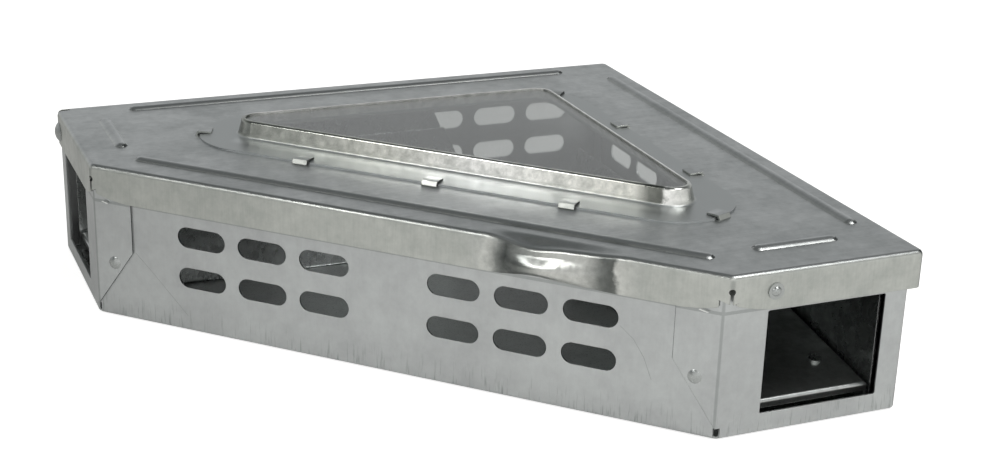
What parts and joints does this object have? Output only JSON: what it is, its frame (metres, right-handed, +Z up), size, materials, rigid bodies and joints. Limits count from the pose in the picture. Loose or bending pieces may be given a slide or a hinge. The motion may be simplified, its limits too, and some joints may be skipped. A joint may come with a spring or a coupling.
{
  "type": "corner bait station",
  "caption": "Low corner-shaped galvanised steel rodent station with end entrances, slotted walls, see-saw treadles and a hinged lid with a raised clear window.",
  "frame": {"origin": "on the floor plane, under the middle of the whole station's bounding box", "axes": "+Z up; the two legs run along -X (ending in the left entrance, facing -X) and along -Y (ending in the right entrance, facing -Y) from the right-angled back corner at +X +Y; the slotted front faces -X -Y; the lid's hinge runs along X at the +Y side"},
  "size_m": [0.2506, 0.2484, 0.067],
  "materials": {
    "galvanised_sheet": "galvanised, satin, fine rolling grain",
    "lid_sheet": "galvanised, satin, fine rolling grain",
    "bright_tinplate": "bright, drawn",
    "clear_pane": "clear sheet",
    "plated_fastener": "zinc plated",
    "mill_steel": "plain drawn steel"
  },
  "bodies": {
    "tray": {"base_tray": "galvanised_sheet", "tab_buttons": "plated_fastener", "hinge_rivets": "plated_fastener", "left_tunnel": "galvanised_sheet", "right_tunnel": "galvanised_sheet", "tunnel_rivets": "plated_fastener", "left_axle": "mill_steel", "right_axle": "mill_steel", "axle_clips": "plated_fastener"},
    "lid": {"lid": "lid_sheet", "window_frame": "bright_tinplate", "window_pane": "clear_pane", "keeper_stud": "plated_fastener"},
    "left_treadle": {"left_treadle": "galvanised_sheet", "left_weight": "mill_steel", "left_weight_rivets": "plated_fastener"},
    "right_treadle": {"right_treadle": "galvanised_sheet", "right_weight": "mill_steel", "right_weight_rivets": "plated_fastener"}
  },
  "joints": [
    {"name": "lid_hinge", "type": "hinge", "parent": "tray", "child": "lid", "pos_m": [0, 0.11725, 0.052], "axis": [-1, 0, 0], "range_deg": [0, 85]},
    {"name": "left_treadle_pivot", "type": "hinge", "parent": "tray", "child": "left_treadle", "pos_m": [-0.04536, 0.09015, 0.01668], "axis": [0, 1, 0], "range_deg": [0, 18.3]},
    {"name": "right_treadle_pivot", "type": "hinge", "parent": "tray", "child": "right_treadle", "pos_m": [0.0894, -0.04461, 0.01668], "axis": [-1, 0, 0], "range_deg": [0, 18.3]}
  ]
}
